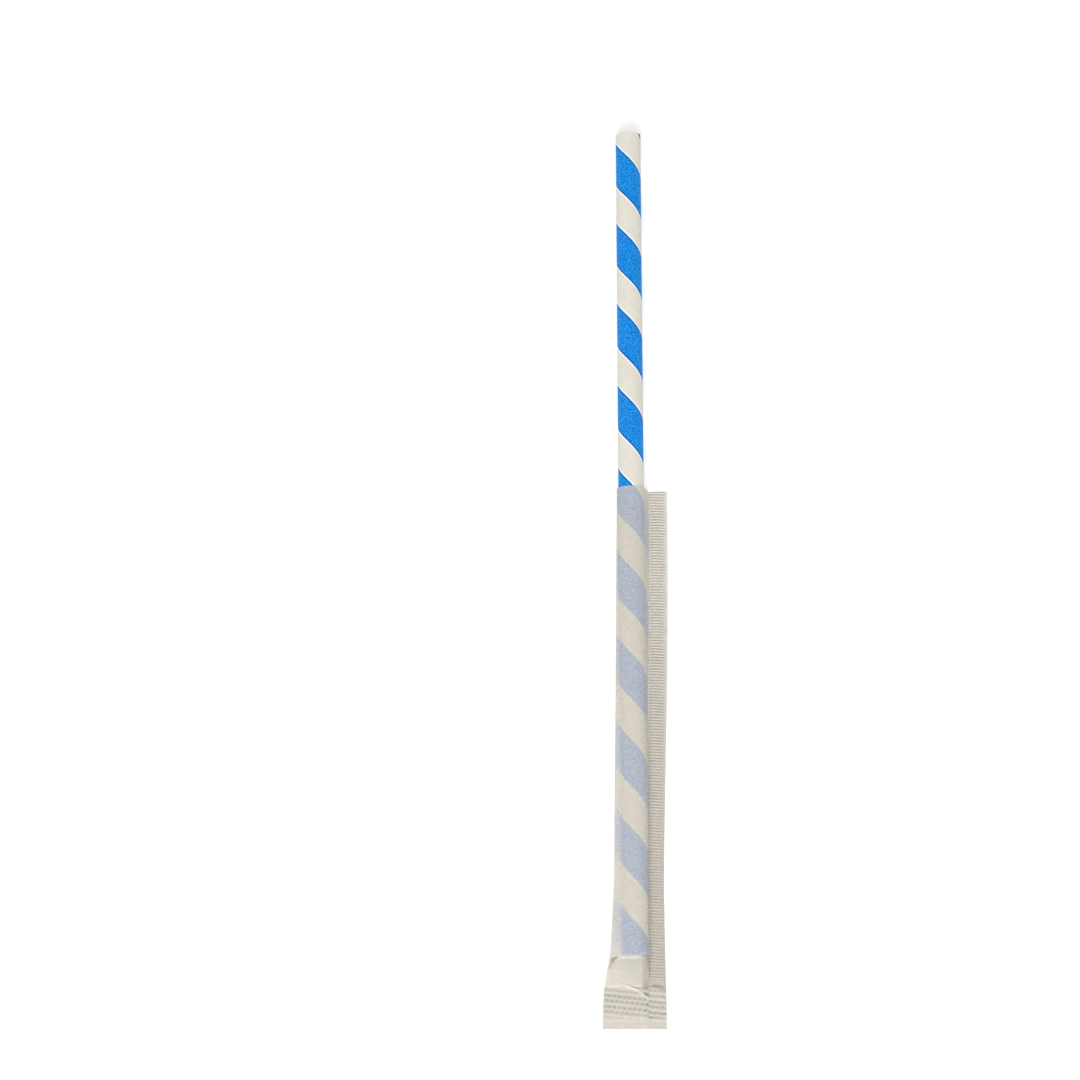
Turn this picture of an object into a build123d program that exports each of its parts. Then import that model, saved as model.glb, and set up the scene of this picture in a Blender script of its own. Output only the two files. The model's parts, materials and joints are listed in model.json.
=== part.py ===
from build123d import *
import math
import os

# A paper drinking straw lying in its half-opened paper wrapper, in millimetres.
# +Z is up, and z = 0 is the surface that it lies on. +Y runs along the straw, from the crimped end
# of the wrapper to the bare, drinking end. +X points from the straw to the wrapper's sealed fin.
# The origin is at the middle of the part's length and width, on the resting surface.

# ---- Straw: a spiral-wound, glued paper tube, cut square at both ends ----
straw_length = 197.0
straw_diameter = 6.0
straw_wall = 0.45

# ---- Wrapper: one thin sheet folded round the straw, its two edges sealed together as a fin ----
paper = 0.1               # thickness of one ply
straw_slack = 0.1         # free space all round the straw where the wrapper is snug
sleeve_length = 125.0     # from the crimped end to the cut mouth
end_gap = 16.1            # from the crimped end to the end of the straw inside
straw_cover = 0.6         # the sleeve keeps its full height this far past that end of the straw
crimp_length = 9.4        # the flat band where both plies are pressed together
crimp_ply_gap = 0.04      # distance between the plies where they run into the crimp
fin_width = 3.9           # from the foot of the sleeve wall to the cut edges of the sheet
fin_overlap = 0.5         # how far the flat plies start under the sleeve wall, before it is hollowed

# The sleeve lies a little askew on the straw, and widens towards the crimp. Each station is a
# cross-section: its distance from the crimped end, how far the crease of the fold on the left stands off
# a snug wrap, and how far the foot of the wall on the right does.
mouth_station = (sleeve_length, 0.15, 1.3)
middle_station = (81.0, 0.7, 0.8)
low_station = (34.0, 1.45, -0.4)
straw_end_station = (end_gap - straw_cover, 2.8, -0.3)
crimp_station = (crimp_length, 3.9, -0.3)
end_station = (0.0, 4.1, -0.1)

straw_radius = straw_diameter / 2
wrap_radius = straw_radius + straw_slack + paper
sleeve_top = 2 * wrap_radius
flat_top = 2 * paper
widest_fold = wrap_radius + end_station[1]
widest_fin = wrap_radius + mouth_station[2] + fin_width
straw_x = (widest_fold - widest_fin) / 2
crimped_end_y = -(end_gap + straw_length) / 2

os.makedirs("parts", exist_ok=True)


def station_y(station):
    """Where a station is along the part."""
    return crimped_end_y + station[0]


def fold_x(station):
    """The crease of the fold, on the left of the sleeve."""
    return straw_x - wrap_radius - station[1]


def foot_x(station):
    """The foot of the sleeve wall, on the right, where the fin starts."""
    return straw_x + wrap_radius + station[2]


def flat_outline(stations, left_edge, right_edge):
    """The outline of two plies pressed flat: down one edge of the stations and up the other."""
    left = [(left_edge(station), station_y(station)) for station in stations]
    right = [(right_edge(station), station_y(station)) for station in reversed(stations)]
    with BuildSketch() as outline:
        with BuildLine():
            Polyline(*left, *right, close=True)
        make_face()
    return outline.sketch


def sleeve_section(station, top, inset):
    """A cross-section of the sleeve, drawn at a depth of inset below its outside.

    The sheet lies flat under the straw, hugs it, and leaves it on both sides along straight walls
    that are tangent to it: to the crease of the fold on the left, and to the fin on the right.
    Towards the crimp the whole section is squashed down to the height of top.
    """
    radius = wrap_radius - inset
    height_radius = top / 2 - inset
    share = radius / wrap_radius
    fold_reach = share * (straw_x - fold_x(station))
    foot_reach = share * (foot_x(station) - straw_x)
    fold_angle = math.degrees(math.acos(radius / fold_reach))
    foot_angle = 2 * math.degrees(math.atan(foot_reach / radius)) - 90
    over_angle = 180 - fold_angle - foot_angle
    centre = (straw_x, top / 2)
    crease = (straw_x - fold_reach, top / 2)
    foot = (straw_x + foot_reach, inset)
    with BuildSketch(Plane.XZ.offset(-station_y(station))) as section:
        with BuildLine():
            over = EllipticalCenterArc(centre, radius, height_radius, foot_angle, arc_size=over_angle)
            under = EllipticalCenterArc(
                centre, radius, height_radius, 180 + fold_angle, arc_size=90 - fold_angle
            )
            Polyline(over @ 1, crease, under @ 0)
            Polyline(under @ 1, foot, over @ 0)
        make_face()
    return section.sketch


def sleeve_form(inset):
    """The sleeve as a solid, from its mouth to the crimp, at a depth of inset below its outside."""
    with BuildPart() as form:
        for station in (mouth_station, middle_station, low_station, straw_end_station):
            add(sleeve_section(station, sleeve_top, inset))
        add(sleeve_section(crimp_station, flat_top + crimp_ply_gap, inset))
        loft(ruled=True)
    return form.part


# ---- Straw ----
with BuildPart() as straw:
    with BuildSketch(Plane.XZ.offset(-crimped_end_y - end_gap)):
        with Locations((straw_x, wrap_radius)):
            Circle(straw_radius)
            Circle(straw_radius - straw_wall, mode=Mode.SUBTRACT)
    extrude(amount=-straw_length)
straw.part.label = "straw"
export_step(straw.part, "parts/straw.step")

# ---- Wrapper ----
outside = sleeve_form(0)
inside = sleeve_form(paper)
fin = flat_outline(
    (mouth_station, middle_station, low_station, straw_end_station, crimp_station, end_station),
    lambda station: foot_x(station) - fin_overlap,
    lambda station: foot_x(station) + fin_width,
)
crimp = flat_outline((crimp_station, end_station), fold_x, foot_x)

with BuildPart() as wrapper:
    add(outside)
    add(fin)
    add(crimp)
    extrude(amount=flat_top)
    # The room for the straw, open at the mouth and closed at the crimp.
    add(inside, mode=Mode.SUBTRACT)
wrapper.part.label = "wrapper"
export_step(wrapper.part, "parts/wrapper.step")
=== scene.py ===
import json
import math
import bpy
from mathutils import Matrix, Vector, noise


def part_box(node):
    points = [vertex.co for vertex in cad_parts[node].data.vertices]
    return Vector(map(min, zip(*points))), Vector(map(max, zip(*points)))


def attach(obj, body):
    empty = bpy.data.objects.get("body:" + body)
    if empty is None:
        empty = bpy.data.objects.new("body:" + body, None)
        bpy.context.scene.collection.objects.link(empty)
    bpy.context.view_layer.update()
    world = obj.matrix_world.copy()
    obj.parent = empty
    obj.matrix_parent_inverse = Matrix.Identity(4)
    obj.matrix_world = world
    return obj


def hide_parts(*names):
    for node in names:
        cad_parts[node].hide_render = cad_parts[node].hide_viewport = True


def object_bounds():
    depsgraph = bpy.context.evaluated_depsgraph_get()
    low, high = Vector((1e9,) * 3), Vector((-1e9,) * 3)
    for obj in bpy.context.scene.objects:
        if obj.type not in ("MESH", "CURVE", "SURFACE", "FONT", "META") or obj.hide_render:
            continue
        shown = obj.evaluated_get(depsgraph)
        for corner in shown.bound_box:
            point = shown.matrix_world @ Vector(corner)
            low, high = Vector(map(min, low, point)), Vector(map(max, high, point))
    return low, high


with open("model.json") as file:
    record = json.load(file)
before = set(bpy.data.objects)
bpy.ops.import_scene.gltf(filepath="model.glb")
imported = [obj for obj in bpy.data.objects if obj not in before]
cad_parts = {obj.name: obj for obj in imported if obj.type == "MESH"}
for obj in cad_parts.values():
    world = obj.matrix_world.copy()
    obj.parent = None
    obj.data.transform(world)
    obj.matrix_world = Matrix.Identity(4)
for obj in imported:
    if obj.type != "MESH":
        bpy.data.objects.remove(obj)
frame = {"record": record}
cad_low, cad_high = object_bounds()
bpy.ops.object.select_all(action="DESELECT")
MM = 0.001


# ---- Straw ----
# A drinking straw of uncoated cream paper. Narrow glued strips are wound on a mandrel as one helix,
# so the outer strip's two edges meet in a fine butt seam round the tube, which is then cut square.

straw_low, straw_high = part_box("straw")
straw_x = (straw_low.x + straw_high.x) / 2
straw_z = (straw_low.z + straw_high.z) / 2
straw_radius = (straw_high.x - straw_low.x) / 2
bore = next(mount for mount in frame["record"]["mounts"] if mount["name"] == "straw_bore")
straw_wall = straw_radius - bore["dims"]["r_mm"] * MM
lead = 20.28 * MM             # the strip, and the stripe on it, move this far along in one turn
stripe_start = 0.3440         # of a lead, from the drinking end along the top of the straw
stripe_share = 0.5273         # of a lead that the blue stripe takes
seam_place = stripe_share + 0.006    # of a lead, from the start of the stripe: just past its edge
seam_depth = 0.04 * MM
seam_groove = 0.12 * MM       # half the width of the groove that the seam leaves
seam_lip = 0.3 * MM           # where the strip's edge starts to turn down to the seam

# One strip's width as a line of points along the tube, wound round the axis, past both ends.
bpy.ops.mesh.primitive_plane_add(size=lead)
straw = bpy.context.object
straw.name = "paper_straw"
bpy.ops.object.mode_set(mode="EDIT")
bpy.ops.mesh.select_all(action="DESELECT")
bpy.ops.object.mode_set(mode="OBJECT")
for vertex in straw.data.vertices:
    vertex.select = vertex.co.x > 0
bpy.ops.object.mode_set(mode="EDIT")
bpy.ops.mesh.delete(type="VERT")
bpy.ops.mesh.select_all(action="SELECT")
bpy.ops.mesh.subdivide(number_cuts=9)
bpy.ops.object.mode_set(mode="OBJECT")
edge_points = [(0, seam_depth), (seam_groove, 0.3 * seam_depth), (seam_lip, 0)]
middle_points = [(lead * k / 6, 0) for k in range(1, 6)]
strip_points = edge_points + middle_points + [(lead - y, depth) for y, depth in reversed(edge_points)]
strip = sorted(straw.data.vertices, key=lambda vertex: vertex.co.y)
for vertex, (y, depth) in zip(strip, strip_points):
    vertex.co = (straw_radius - depth, y, 0)
turns = math.ceil((straw_high.y - straw_low.y) / lead) + 1
winding = straw.modifiers.new("winding", "SCREW")
winding.axis = "Y"
winding.angle = -2 * math.pi
winding.screw_offset = lead
winding.iterations = turns + 1
winding.steps = 64
winding.render_steps = 64
bpy.ops.object.modifier_apply(modifier="winding")
start_phase = (0.25 + stripe_start + seam_place) % 1
straw.location = (straw_x, straw_high.y - (turns + start_phase) * lead, straw_z)
bpy.ops.object.transform_apply(location=True, rotation=False, scale=False)
bpy.ops.object.mode_set(mode="EDIT")
bpy.ops.mesh.select_all(action="SELECT")
bpy.ops.mesh.remove_doubles(threshold=0.002 * MM)
trim = Vector((0, 0.1 * MM, 0))         # the wall's rim leans out this far where the seam crosses it
bpy.ops.mesh.bisect(plane_co=straw_low + trim, plane_no=(0, 1, 0), clear_inner=True, threshold=0.001 * MM)
bpy.ops.mesh.select_all(action="SELECT")
bpy.ops.mesh.bisect(plane_co=straw_high - trim, plane_no=(0, 1, 0), clear_outer=True, threshold=0.001 * MM)
bpy.ops.mesh.select_all(action="SELECT")
bpy.ops.mesh.normals_make_consistent(inside=False)
bpy.ops.object.mode_set(mode="OBJECT")
wall = straw.modifiers.new("wall", "SOLIDIFY")
wall.thickness = straw_wall
wall.offset = -1
bpy.ops.object.modifier_apply(modifier="wall")
bpy.ops.object.shade_smooth_by_angle(angle=math.radians(40))


def colour(code):
    """The linear colour of an sRGB hex code."""
    parts = [int(code[place:place + 2], 16) / 255 for place in (1, 3, 5)]
    return [part / 12.92 if part <= 0.04045 else ((part + 0.055) / 1.055) ** 2.4 for part in parts] + [1]


def add_node(material, kind, values=None, links=None, stops=None, **settings):
    """Adds a node: its settings, its sockets' own values, what feeds them, and a ramp's stops."""
    made = material.node_tree.nodes.new("ShaderNode" + kind)
    for name, value in settings.items():
        setattr(made, name, value)
    for socket, value in (values or {}).items():
        made.inputs[socket].default_value = value
    for socket, source in (links or {}).items():
        material.node_tree.links.new(source, made.inputs[socket])
    for number, (place, code) in enumerate(stops or []):
        if number in (0, len(stops) - 1):
            stop = made.color_ramp.elements[0 if number == 0 else -1]
            stop.position = place
        else:
            stop = made.color_ramp.elements.new(place)
        stop.color = colour(code)
    return made.outputs


def new_material(name):
    material = bpy.data.materials.new(name)
    material.use_nodes = True
    material.node_tree.nodes.clear()
    return material


def printed_straw_paper():
    """Uncoated cream-white paper, flexo printed with one blue stripe that follows the winding.

    The ink sinks in unevenly, so the blue is speckled; it is squeezed to a darker line along the
    stripe's edges, with a starved pale line beside it. The bore and the cut ends are bare.
    """
    paper = new_material("printed_straw_paper")
    place = add_node(paper, "TexCoord")["Object"]
    centred = add_node(
        paper, "Mapping", {"Location": (-straw_x, -straw_high.y, -straw_z)}, {"Vector": place}
    )
    apart = add_node(paper, "SeparateXYZ", links={0: centred[0]})
    # Where a point lies across the stripe, in leads from the stripe's start. The quarter turn leads
    # from the side to the top of the straw, and the whole turns keep the value above 0.
    whole_turns = 20
    turn = add_node(paper, "Math", links={0: apart["Z"], 1: apart["X"]}, operation="ARCTAN2")
    round_tube = add_node(
        paper, "Math", {1: 1 / (2 * math.pi), 2: whole_turns - 0.25 - stripe_start}, {0: turn[0]},
        operation="MULTIPLY_ADD",
    )
    along_tube = add_node(
        paper, "Math", {1: -1 / lead}, {0: apart["Y"], 2: round_tube[0]}, operation="MULTIPLY_ADD"
    )
    ragged = add_node(paper, "TexNoise", {"Scale": 1 / (0.8 * MM), "Detail": 2}, {"Vector": place})
    phase = add_node(
        paper, "Math", {1: 0.006}, {0: ragged[0], 2: along_tube[0]}, operation="MULTIPLY_ADD"
    )
    across = add_node(paper, "Math", links={0: phase[0]}, operation="FRACT")
    end = stripe_share
    # 0 bare paper, half inked in full, 1 squeezed ink.
    ink = add_node(paper, "ValToRGB", links={"Fac": across[0]}, stops=[
        (0.0, "#FFFFFF"), (0.012, "#FFFFFF"), (0.026, "#BCBCBC"), (end - 0.028, "#BCBCBC"),
        (end - 0.014, "#FFFFFF"), (end, "#FFFFFF"), (end + 0.002, "#000000"), (0.998, "#000000"),
        (1.0, "#FFFFFF"),
    ])
    starved = add_node(paper, "ValToRGB", links={"Fac": across[0]}, stops=[
        (0.0, "#000000"), (end, "#000000"), (end + 0.002, "#FFFFFF"), (end + 0.021, "#FFFFFF"),
        (end + 0.030, "#000000"), (0.970, "#000000"), (0.978, "#FFFFFF"), (0.999, "#FFFFFF"),
        (1.0, "#000000"),
    ])
    speckle = add_node(
        paper, "TexNoise", {"Scale": 1 / (0.36 * MM), "Detail": 3, "Roughness": 0.6}, {"Vector": place}
    )
    blue = add_node(paper, "ValToRGB", links={"Fac": speckle[0]}, stops=[
        (0.36, "#026AC2"), (0.5, "#0686DE"), (0.64, "#3CA6F2"),
    ])
    squeezed = add_node(paper, "MapRange", {"From Min": 0.5, "From Max": 1.0}, {"Value": ink[0]})
    stripe = add_node(
        paper, "MixRGB", {"Color2": colour("#07509A")}, {"Fac": squeezed[0], "Color1": blue[0]}
    )
    cloud = add_node(paper, "TexNoise", {"Scale": 1 / (2.4 * MM), "Detail": 4}, {"Vector": place})
    cream = add_node(paper, "ValToRGB", links={"Fac": cloud[0]}, stops=[
        (0.35, "#DEDACE"), (0.5, "#E1DDD1"), (0.65, "#E4E0D4"),
    ])
    beside = add_node(
        paper, "MixRGB", {"Color2": colour("#F6FCFF")}, {"Fac": starved[0], "Color1": cream[0]}
    )
    inked = add_node(paper, "Math", {1: 0.2}, {0: ink[0]}, operation="GREATER_THAN")
    printed = add_node(
        paper, "MixRGB", links={"Fac": inked[0], "Color1": beside[0], "Color2": stripe[0]}
    )
    # The cut ends show the strips' plies as fine rings round the bore.
    flat = add_node(paper, "CombineXYZ", links={"X": apart["X"], "Y": apart["Z"]})
    radius = add_node(paper, "VectorMath", links={0: flat[0]}, operation="LENGTH")["Value"]
    ply_turn = add_node(
        paper, "Math", {1: 2 * math.pi / (straw_wall / 3)}, {0: radius}, operation="MULTIPLY"
    )
    ply_line = add_node(paper, "Math", links={0: ply_turn[0]}, operation="COSINE")
    ply_share = add_node(paper, "MapRange", {"From Min": 0.6, "From Max": 1.0}, {"Value": ply_line[0]})
    bare = add_node(
        paper, "MixRGB", {"Color1": colour("#DED8C9"), "Color2": colour("#C2B9A5")}, {"Fac": ply_share[0]}
    )
    outside = add_node(
        paper, "MapRange",
        {"From Min": straw_radius - 2 * seam_depth, "From Max": straw_radius - 1.5 * seam_depth},
        {"Value": radius},
    )
    base = add_node(
        paper, "MixRGB", links={"Fac": outside[0], "Color1": bare[0], "Color2": printed[0]}
    )
    fibres = add_node(
        paper, "TexNoise", {"Scale": 1 / (0.16 * MM), "Detail": 3, "Roughness": 0.65}, {"Vector": place}
    )
    grain = add_node(paper, "Bump", {"Strength": 0.3, "Distance": 0.02 * MM}, {"Height": fibres[0]})
    matt = add_node(paper, "MapRange", {"To Min": 0.8, "To Max": 0.55}, {"Value": inked[0]})
    surface = add_node(
        paper, "BsdfPrincipled", {"IOR": 1.45, "Specular IOR Level": 0.12},
        {"Base Color": base[0], "Roughness": matt[0], "Normal": grain[0]},
    )
    add_node(paper, "OutputMaterial", links={"Surface": surface[0]})
    return paper


straw.data.materials.clear()
straw.data.materials.append(printed_straw_paper())
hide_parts("straw")
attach(straw, "root")
bpy.ops.object.select_all(action="DESELECT")


# ---- Wrapper ----
# One flat sheet of thin white tissue paper, folded round the straw. Its two long edges are pressed
# together between toothed wheels as a ribbed fin, and one end is crimped shut between ribbed jaws.

wrap_low, wrap_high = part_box("wrapper")
tissue = 0.05 * MM                      # thickness of the sheet
ply_gap = 0.08 * MM                     # from the middle of one pressed ply to the middle of the next
wrap_radius = wrap_high.z / 2 - tissue / 2          # middle of the sheet, where it hugs the straw
sleeve_length = wrap_high.y - wrap_low.y
sheet_length = sleeve_length - 0.4 * MM             # it ends just short of the plain solid's mouth
straw_end = straw_low.y - wrap_low.y    # from the crimped end to the end of the straw inside
crimp_length = 9.4 * MM
fin_width = 4.4 * MM
rib_count = 186                         # ribs of the fin along the whole sleeve
rib_pitch = sleeve_length / rib_count
rib_height = 0.34 * MM
crimp_height = 0.36 * MM

# Values of the "pressed" tone, which holds the paper's density together with painted shade and painted
# light:
# 0 is a single slack ply, lightest at plies_tone, darkest at 1.
plies_tone = 0.2                        # two plies on each other, and painted light on the wall standing off the straw
grey_tone = 0.5                         # where the tissue has turned light grey
groove_painted_shade_and_density = grey_tone + 0.04          # the grooves between the fin's ribs: denser paper with painted shade
low_rib_painted_shade = 0.08                     # painted shade that the crests of those ribs add lower down
margin_tone = 0.1                       # what the fin's plain margins add
low_margin_painted_shade = 0.14                         # painted shade that they add besides, lower down
slack_tone = 0.42                       # the slack tissue between the straw's end and the crimp
crimp_painted_shade_and_density = 0.64                       # the grooves of the crimp: denser paper with painted shade
flat_tone = 1.8 * plies_tone            # between those grooves
pleat_tone_with_painted_light = 1.3 * plies_tone           # between them in the pleat, painted lighter to lift the shade of its stacked plies
facet_painted_shade = 0.8                        # painted shade on the small facet at the left of the straw's end
corner_painted_shadow = 0.7                       # painted shadow beside the fold across the fin, at the crimp's upper edge
crease_painted_shade = 0.75                      # painted shade along the two short folds across that edge
band_tone = 0.56                        # the shaded band down the right of the slack tissue

lap_edge = 3.3 * MM                     # where the pleat in the crimped end shows its fold
ridge = 1.75 * MM                       # where that pleat begins

# The sheet's columns, from the free edge of the lower fin ply round the straw to that of the upper:
# the lower ply of the fin, the part under the straw, the part over it, the wall, and the upper ply.
fin_columns, under_columns, over_columns, wall_columns = 10, 24, 24, 16
foot_column = fin_columns
crease_column = foot_column + under_columns
ridge_column = crease_column + over_columns
end_column = ridge_column + wall_columns
columns = end_column + fin_columns

# Stations along the sleeve: the distance from the crimped end in mm; how far the crease on the left
# and the foot of the fin on the right stand off a snug wrap, in mm; and how many degrees above the
# table the sheet leaves the straw on the fin's side.
stations = [
    (0.0, 4.10, -0.40, 62), (4.7, 4.00, -0.42, 62), (9.4, 3.72, -0.50, 62), (13.1, 3.15, -0.55, 64),
    (15.9, 2.55, -0.58, 68), (19.7, 2.20, -0.62, 71), (24.0, 1.93, -0.68, 70), (34.0, 1.45, -0.68, 66),
    (56.0, 1.10, -0.14, 62), (81.0, 0.70, 0.58, 58), (103.0, 0.42, 0.96, 54), (125.0, 0.15, 1.05, 50),
]


def smooth(value, low, high):
    """0 below low, 1 above high, and a smooth rise between them."""
    share = min(1.0, max(0.0, (value - low) / (high - low)))
    return share * share * (3 - 2 * share)


def mix(first, second, share):
    return first + (second - first) * share


def at_station(distance):
    """Where the crease and the foot lie from the straw's axis, and the angle at which the sheet
    leaves the straw, on a smooth curve through the stations."""
    t = min(max(distance / MM, stations[0][0]), stations[-1][0])
    after = next(k for k in range(1, len(stations)) if t <= stations[k][0])
    a, b = stations[after - 1], stations[after]
    before, beyond = stations[max(after - 2, 0)], stations[min(after + 1, len(stations) - 1)]
    span = b[0] - a[0]
    s = (t - a[0]) / span
    found = []
    for k in (1, 2, 3):
        slope_a = (b[k] - before[k]) / (b[0] - before[0]) * span
        slope_b = (beyond[k] - a[k]) / (beyond[0] - a[0]) * span
        found.append(
            (2 * s**3 - 3 * s**2 + 1) * a[k] + (s**3 - 2 * s**2 + s) * slope_a
            + (3 * s**2 - 2 * s**3) * b[k] + (s**3 - s**2) * slope_b
        )
    return wrap_radius + found[0] * MM, wrap_radius + found[1] * MM, math.radians(found[2])


def on_wrap(angle):
    """A point of the snug wrap, from the straw's axis: 0 degrees is the fin's side, 90 the top."""
    return wrap_radius * math.cos(angle), wrap_radius * math.sin(angle)


def under_straw(share, crease, foot):
    """The sheet from the foot of the fin along the table and up round the straw to the crease."""
    turn = math.acos(wrap_radius / crease)
    arc = wrap_radius * (math.pi / 2 - turn)
    to_crease = math.sqrt(crease**2 - wrap_radius**2)
    run = share * (foot + arc + to_crease)
    if run < foot:
        return foot - run, -wrap_radius
    if run < foot + arc:
        return on_wrap(-math.pi / 2 - (run - foot) / wrap_radius)
    x, z = on_wrap(turn - math.pi)
    left = (run - foot - arc) / to_crease
    return mix(x, -crease, left), mix(z, 0, left)


def over_straw(share, crease, leaving):
    """The sheet from the crease up to the straw and over it, to where it leaves the straw."""
    turn = math.pi - math.acos(wrap_radius / crease)
    arc = wrap_radius * (turn - leaving)
    to_crease = math.sqrt(crease**2 - wrap_radius**2)
    run = share * (to_crease + arc)
    if run > to_crease:
        return on_wrap(turn - (run - to_crease) / wrap_radius)
    x, z = on_wrap(turn)
    return mix(-crease, x, run / to_crease), mix(0, z, run / to_crease)


def side_wall(share, foot, leaving):
    """The slack sheet from where it leaves the straw, out past it, and down to the foot of the fin."""
    start = on_wrap(leaving)
    out = 2.2 * MM
    slack = smooth(foot, 3.0 * MM, 3.7 * MM)
    points = [
        start, (start[0] + out * math.sin(leaving), start[1] - out * math.cos(leaving)),
        (mix(3.75 * MM, foot - 0.45 * MM, slack), -mix(0.25, 0.55, slack) * wrap_radius),
        (foot, -wrap_radius),
    ]
    while len(points) > 1:
        points = [(mix(a[0], b[0], share), mix(a[1], b[1], share)) for a, b in zip(points, points[1:])]
    return points[0]


def pleat(share, foot):
    """The same stretch flattened in the crimped end: out to the lap's edge, back, and out again."""
    stops = [
        (0, ridge, 3), (6, lap_edge, 3), (7, lap_edge - 0.2 * MM, 2), (10, 1.97 * MM, 2),
        (11, 2.05 * MM, 1), (wall_columns, foot, 1),
    ]
    column = share * wall_columns
    for (a, x_a, level_a), (b, x_b, level_b) in zip(stops, stops[1:]):
        if column <= b:
            part = (column - a) / (b - a)
            return mix(x_a, x_b, part), mix(level_a, level_b, part)
    return foot, 1


def line_relief(x, t, start, end, steep, gentle):
    """How near a point is to a pressed line, 1 on it and 0 away from it. The line's ends are in mm
    from the straw's axis and the crimped end; it fades over steep on the far side of the line from
    the crimped end, and over gentle on the near side."""
    a, b = Vector(start) * MM, Vector(end) * MM
    along = (b - a).normalized()
    off = Vector((x, t)) - a
    share = off.dot(along) / (b - a).length
    side = along.cross(off)
    width = (steep if side > 0 else gentle) * MM
    ends = smooth(share, -0.05, 0.15) * (1 - smooth(share, 0.85, 1.05))
    return max(0.0, 1 - abs(side) / width) * ends


def ribbing(out, t):
    """The ribs at a distance out from the fin's foot: 0 in a groove to 1 on a rib, and how strongly
    they are pressed there."""
    drift = 0.05 * noise.noise(Vector((out / (1.6 * MM), t / (9 * MM), 0)))
    drift += 0.05 * math.sin(2 * math.pi * out / (2.6 * MM))
    turn = (t + 0.044 * out) / rib_pitch + drift
    upper = smooth(t, 45 * MM, 90 * MM)
    start = (mix(0.45, 0.05, upper) + 0.06 * noise.noise(Vector((t / (1.0 * MM), 3, 0)))) * MM
    end = fin_width - (mix(0.62, 0.70, upper) + 0.08 * noise.noise(Vector((t / (1.1 * MM), 5, 0)))) * MM
    edge = smooth(out, start, start + 0.3 * MM) * (1 - smooth(out, end - 0.25 * MM, end))
    fade = smooth(t, crimp_length + 0.3 * MM, crimp_length + 2.2 * MM)
    evenness = mix(0.55, 1.0, smooth(t, 15 * MM, 80 * MM))
    evenness += 0.16 * noise.noise(Vector((t / (5 * MM), 9, 0)))
    return (0.5 + 0.5 * math.cos(2 * math.pi * turn)) ** 0.7, edge * fade * evenness


def fin_lift(out, t):
    """The fin isn't quite flat: its free edge lifts a little off the table here and there."""
    wave = 0.5 + 0.5 * noise.noise(Vector((t / (17 * MM), 2, 0)))
    lift = 0.35 * MM * wave * (out / fin_width) ** 2 * smooth(t, crimp_length, 30 * MM)
    corner = line_relief(out, t, (1.3, 9.5), (4.3, 8.2), 0.35, 2.2)
    return lift + 0.38 * MM * corner


def crimping(x, t):
    """Rows of dots that the crimping jaws press through all plies, slightly askew: 0 untouched to 1
    pressed in full."""
    row_pitch, dot_pitch = 1.22 * MM, 1.15 * MM
    askew = 0.105 * (x + 5.5 * MM) + 0.3 * MM * smooth(x, 2.9 * MM, 3.3 * MM)
    row = (t + askew - 2.7 * MM) / row_pitch
    dot = math.cos(2 * math.pi * x / dot_pitch + math.pi * round(row))
    zigzag = 0.09 * math.cos(2 * math.pi * x / dot_pitch)
    groove = (0.5 + 0.5 * math.cos(2 * math.pi * (row + zigzag))) ** 1.5
    dotted = 0.42 * smooth(t, 2.8 * MM, 4.2 * MM) * (1 - 0.7 * smooth(t, 6.5 * MM, 8.8 * MM))
    faint = 0.6 * (1 - smooth(t, 2.8 * MM, 4.6 * MM)) * (1 - smooth(x, 2.9 * MM, 3.3 * MM))
    faint = max(faint, 0.45 * smooth(t, 7.4 * MM, 8.4 * MM))
    return groove * (1 - dotted + dotted * dot) * (1 - faint) * jaws(t)


def above_crimp(t):
    """0 in the crimped end, 1 above it."""
    return smooth(t, 9 * MM, 10 * MM)


def jaws(t):
    """1 where the crimping jaws grip, 0 clear of them."""
    return smooth(t, 1.4 * MM, 3.0 * MM) * (1 - above_crimp(t))


def facet(x, t):
    """1 on the small facet that the slack sheet folds into at the left of the straw's end."""
    left = (-2.7 * MM - x) / MM
    if left < 0:
        return 0
    top = (16.2 - 0.12 * left) * MM
    bottom = max(13.2, 16.2 - 0.35 * left - 0.075 * left**3) * MM
    return (1 - smooth(t, top - 0.1 * MM, top)) * smooth(t, bottom, bottom + 0.1 * (1 + left) * MM)


def fold_tone(x, t):
    """Where the folds turn away from the light or lap over themselves."""
    slack = above_crimp(t) * (1 - smooth(t, 15 * MM, 16.3 * MM))
    tone = max(facet_painted_shade * facet(x, t), slack_tone * slack)
    tone = max(tone, corner_painted_shadow * line_relief(x, t, (3.8, 10.2), (7.4, 8.5), 1.2, 0.4))
    tone = max(tone, crease_painted_shade * line_relief(x, t, (-2.2, 10.05), (1.2, 8.85), 0.3, 0.2))
    tone = max(tone, crease_painted_shade * line_relief(x, t, (1.0, 8.95), (3.3, 6.95), 0.25, 0.2))
    band = line_relief(x, t, (2.6, 16.8), (2.5, 8.3), 1.8, 2.2)
    return max(tone, band_tone * min(1, 1.4 * band))


def glint(x, t):
    """The lit lips of the two short folds across the crimp's upper edge."""
    return max(
        line_relief(x, t, (-2.3, 9.75), (1.2, 8.5), 0.25, 0.45),
        line_relief(x, t, (1.0, 8.5), (3.4, 6.35), 0.25, 0.5),
    )


def sleeve_relief(x, t):
    """Folds of the slack sheet over and beyond the end of the straw, in its upper ply alone, so the
    facet passes through the lower ply close to the crease. Heights are in mm until the last line."""
    facet_depth = 0.5
    fold = 0.50 * line_relief(x, t, (-2.3, 9.9), (1.3, 8.6), 0.35, 0.5)
    fold += 0.45 * line_relief(x, t, (1.0, 8.7), (3.3, 6.7), 0.35, 0.6)
    fold += 0.30 * line_relief(x, t, (1.35, 16.0), (1.40, 8.5), 0.6, 0.6)
    return (fold - facet_depth * facet(x, t)) * MM


bpy.ops.mesh.primitive_grid_add(x_subdivisions=columns, y_subdivisions=rib_count // 2, size=1)
sheet = bpy.context.object
sheet.name = "paper_wrapper"


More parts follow.
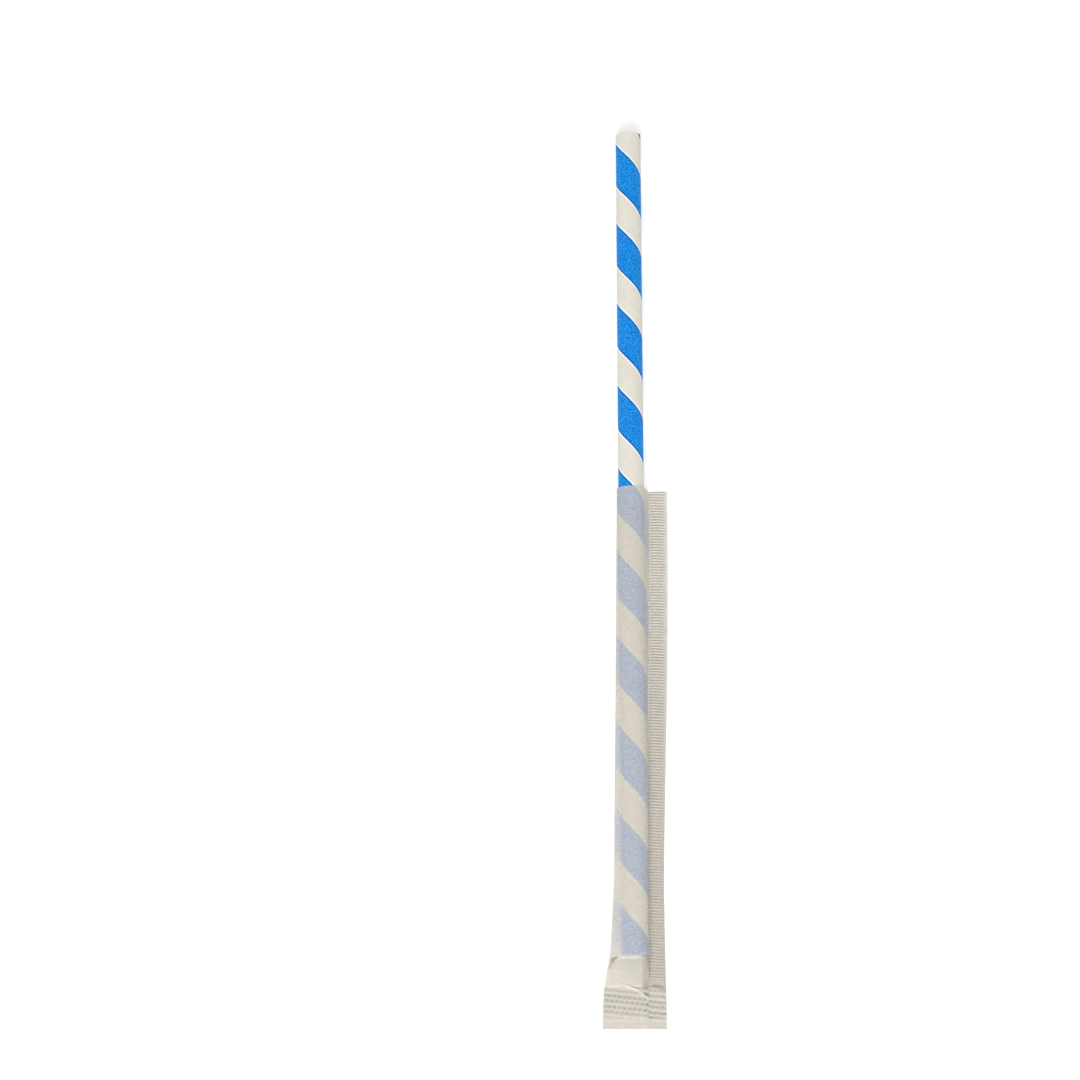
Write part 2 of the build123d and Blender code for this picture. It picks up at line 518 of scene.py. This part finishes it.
def cut_rows(chosen, cuts):
    """Cuts the sheet's faces across, between the columns and along the stretch that chosen() picks."""
    bpy.ops.object.mode_set(mode="EDIT")
    bpy.ops.mesh.select_mode(type="EDGE")
    bpy.ops.mesh.select_all(action="DESELECT")
    bpy.ops.object.mode_set(mode="OBJECT")
    points = sheet.data.vertices
    for edge in sheet.data.edges:
        a, b = points[edge.vertices[0]].co, points[edge.vertices[1]].co
        lengthwise = abs(a.x - b.x) < 0.1 / columns
        middle = ((a.y + b.y) / 2 + 0.5) * sheet_length
        edge.select = lengthwise and chosen(round((a.x + 0.5) * columns), middle)
    bpy.ops.object.mode_set(mode="EDIT")
    bpy.ops.mesh.subdivide(number_cuts=cuts)
    bpy.ops.object.mode_set(mode="OBJECT")


# Six rows to a rib in the fin, one to a rib in the sleeve, and three where it is folded and crimped.
cut_rows(lambda column, t: column <= foot_column or column >= end_column, 11)
cut_rows(lambda column, t: foot_column < column < end_column, 1)
cut_rows(lambda column, t: foot_column < column < end_column and t < 24 * MM, 2)

# The "pressed" tone holds the paper's density, painted shade and painted light.
pressed = sheet.data.attributes.new("pressed", "FLOAT", "POINT")
standing = sheet.data.attributes.new("standing", "FLOAT", "POINT")
for vertex, press, stand in zip(sheet.data.vertices, pressed.data, standing.data):
    column = round((vertex.co.x + 0.5) * columns)
    t = (vertex.co.y + 0.5) * sheet_length
    crease, foot, leaving = at_station(t)
    # 0 where the sleeve is pressed flat, 1 where it is open round the straw.
    opened = min(1.0, max(0.0, (t - crimp_length) / (straw_end - 0.3 * MM - crimp_length)))
    if column < foot_column or column > end_column:
        upper = column > end_column
        out = (column - end_column if upper else foot_column - column) * fin_width / fin_columns
        x = foot + out
        rib, strength = ribbing(out, t)
        z = upper * ply_gap + rib_height * rib * strength + fin_lift(out, t)
        plain = 1 - 0.8 * strength
        # Painted shade: lower down the fin the crests and the plain margins are darker, and the grooves
        # are darker as well as denser.
        crest_tone = plies_tone + low_rib_painted_shade * (1 - smooth(t, 60 * MM, 125 * MM))
        press.value = mix(crest_tone, groove_painted_shade_and_density, (1 - rib) * strength) + margin_tone * plain
        press.value += low_margin_painted_shade * plain * smooth(t, 8 * MM, 12 * MM) * (1 - smooth(t, 15 * MM, 95 * MM))
    elif column <= crease_column:
        share = (column - foot_column) / under_columns
        open_x, open_z = under_straw(share, crease, foot)
        x = mix(mix(foot, -crease, share), open_x, opened)
        z = mix(0, open_z + wrap_radius, opened)
    else:
        if column <= ridge_column:
            share = (column - crease_column) / over_columns
            open_x, open_z = over_straw(share, crease, leaving)
            flat_x = mix(-crease, ridge, share)
            level = 1 + 2 * smooth(flat_x, ridge - 0.7 * MM, ridge)
        else:
            share = (column - ridge_column) / wall_columns
            open_x, open_z = side_wall(share, foot, leaving)
            flat_x, level = pleat(share, foot)
            stand.value = smooth(math.hypot(open_x, open_z) - wrap_radius, 0, 0.5 * MM) * opened
            # Painted light: the wall is lightened where it stands off the straw.
            press.value = plies_tone * stand.value
        x = mix(flat_x, open_x, opened)
        z = mix(level * ply_gap, open_z + wrap_radius, opened)
        z += sleeve_relief(x, t) if column <= ridge_column + 6 else 0
    crimped = crimping(x, t)
    # The crimp's grooves are denser with painted shade, the pleat is painted lighter, and the folds carry
    # painted shade.
    between_rows = pleat_tone_with_painted_light if ridge_column < column < end_column else flat_tone
    press.value = max(
        press.value, mix(between_rows, crimp_painted_shade_and_density, crimped) * (1 - above_crimp(t)),
        fold_tone(x, t) if column > crease_column else 0,
    )
    # Painted highlights on the lit lips of the two short folds.
    press.value = mix(press.value, plies_tone, min(1, 1.5 * glint(x, t)))
    vertex.co = (straw_x + x, wrap_low.y + t, tissue / 2 + z + crimp_height * (1 - crimped) * jaws(t))

thickness = sheet.modifiers.new("thickness", "SOLIDIFY")
thickness.thickness = tissue
thickness.offset = 0
bpy.ops.object.modifier_apply(modifier="thickness")
bpy.ops.object.mode_set(mode="EDIT")
bpy.ops.mesh.select_all(action="SELECT")
bpy.ops.mesh.normals_make_consistent(inside=False)
bpy.ops.object.mode_set(mode="OBJECT")
bpy.ops.object.shade_smooth_by_angle(angle=math.radians(50))


def tissue_paper():
    """Machine-glazed white tissue, thin enough to show the blue stripe through it.

    Half of what isn't let straight through comes back and half goes on, scattered by the fibres.
    Where it is pressed hard, in the grooves of the fin and the crimp, it is denser and greyer,
    and painted shade darkens those grooves further. The same tone also carries painted shade
    along the folds and the lower fin, and painted light on the wall and on the folds' lips.
    """
    paper = new_material("wrapper_tissue_paper")
    place = add_node(paper, "TexCoord")["Object"]
    cloud = add_node(
        paper, "TexNoise", {"Scale": 1 / (1.6 * MM), "Detail": 4, "Roughness": 0.6}, {"Vector": place}
    )
    tint = add_node(paper, "ValToRGB", links={"Fac": cloud[0]}, stops=[
        (0.3, "#FDFCFA"), (0.7, "#FFFEFC"),
    ])
    # The "pressed" tone, with its painted shade and painted light.
    pressed_tone_with_painted_light = add_node(paper, "Attribute", attribute_name="pressed")["Fac"]
    plies = add_node(paper, "ValToRGB", links={"Fac": pressed_tone_with_painted_light}, stops=[
        (0.0, "#F3F1EC"), (plies_tone, "#FBFAF8"), (grey_tone, "#E1DED8"), (1.0, "#A39E95"),
    ])
    toned = add_node(
        paper, "MixRGB", {"Fac": 1.0}, {"Color1": plies[0], "Color2": tint[0]}, blend_type="MULTIPLY"
    )
    fibres = add_node(
        paper, "TexNoise", {"Scale": 1 / (0.25 * MM), "Detail": 4, "Roughness": 0.7}, {"Vector": place}
    )
    grain = add_node(paper, "Bump", {"Strength": 0.12, "Distance": 0.02 * MM}, {"Height": fibres[0]})
    back = add_node(paper, "BsdfDiffuse", {"Roughness": 0.0}, {"Color": toned[0], "Normal": grain[0]})
    through = add_node(paper, "BsdfTranslucent", links={"Color": toned[0], "Normal": grain[0]})
    scattered = add_node(paper, "MixShader", {0: 0.5}, {1: back[0], 2: through[0]})
    straight = add_node(paper, "BsdfTransparent")
    # The fibres bunch up every half millimetre or so, and the print shows through better between.
    # Where the sheet stands off the straw, they blur the print behind them away.
    bunches = add_node(
        paper, "TexNoise", {"Scale": 1 / (0.55 * MM), "Detail": 2.5, "Roughness": 0.6}, {"Vector": place}
    )
    even = add_node(
        paper, "MapRange", {"From Min": 0.3, "From Max": 0.7, "To Min": 0.48, "To Max": 0.77},
        {"Value": bunches[0]},
    )
    standing_off = add_node(paper, "Attribute", attribute_name="standing")["Fac"]
    thick = add_node(
        paper, "Math", {1: 0.26}, {0: standing_off, 2: even[0]}, operation="MULTIPLY_ADD", use_clamp=True
    )
    sheet_of = add_node(paper, "MixShader", links={0: thick[0], 1: straight[0], 2: scattered[0]})
    add_node(paper, "OutputMaterial", links={"Surface": sheet_of[0]})
    return paper


sheet.data.materials.clear()
sheet.data.materials.append(tissue_paper())
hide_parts("wrapper")
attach(sheet, "root")
bpy.ops.object.select_all(action="DESELECT")


# ---- Table, light and camera ----
# A plain matt white board that also glows evenly, as a light table does, so that shadows stay faint.
# One large soft light stands high beyond the crimped end and a little to the left, in a white tent.
# The camera is nearly overhead, 13 degrees towards the crimped end.

centre = (cad_low + cad_high) / 2
bpy.ops.mesh.primitive_plane_add(size=4, location=(0, 0, cad_low.z - 0.01 * MM))
table = bpy.context.object
table.name = "table"
glowing_board = new_material("glowing_board")
board_place = add_node(glowing_board, "TexCoord")["Object"]
board_cloud = add_node(glowing_board, "TexNoise", {"Scale": 40.0, "Detail": 3}, {"Vector": board_place})
board_tone = add_node(glowing_board, "ValToRGB", links={"Fac": board_cloud[0]}, stops=[
    (0.3, "#BABABA"), (0.7, "#BCBCBC"),
])
board_face = add_node(glowing_board, "BsdfDiffuse", links={"Color": board_tone[0]})
board_glow = add_node(glowing_board, "Emission", {"Strength": 0.6, "Color": (1, 1, 1, 1)})
board_lit = add_node(glowing_board, "AddShader", links={0: board_face[0], 1: board_glow[0]})
add_node(glowing_board, "OutputMaterial", links={"Surface": board_lit[0]})
table.data.materials.append(glowing_board)

tent = bpy.data.worlds.new("white_tent")
bpy.context.scene.world = tent
tent.use_nodes = True
tent.node_tree.nodes["Background"].inputs["Color"].default_value = (1, 1, 1, 1)
tent.node_tree.nodes["Background"].inputs["Strength"].default_value = 0.55

light_from = Vector((-0.18, -1.06, 1.30))    # in metres from the middle of the part
bpy.ops.object.light_add(type="AREA", location=centre + light_from)
softbox = bpy.context.object
softbox.name = "softbox"
softbox.data.shape = "DISK"
softbox.data.size = 0.8
softbox.data.energy = 20.5
softbox.rotation_euler = light_from.to_track_quat("Z", "Y").to_euler()

camera_tilt = 0.2252            # in radians
camera_distance = 582 * MM
aim = centre + Vector((-21.95 * MM, 6.43 * MM, -centre.z))    # the part lies right of the middle
bpy.ops.object.camera_add(
    location=aim + camera_distance * Vector((0, -math.sin(camera_tilt), math.cos(camera_tilt))),
    rotation=(camera_tilt, 0, 0),
)
camera = bpy.context.object
camera.data.lens = 82.458
camera.data.sensor_width = 36
bpy.context.scene.camera = camera
bpy.context.scene.view_settings.view_transform = "Standard"
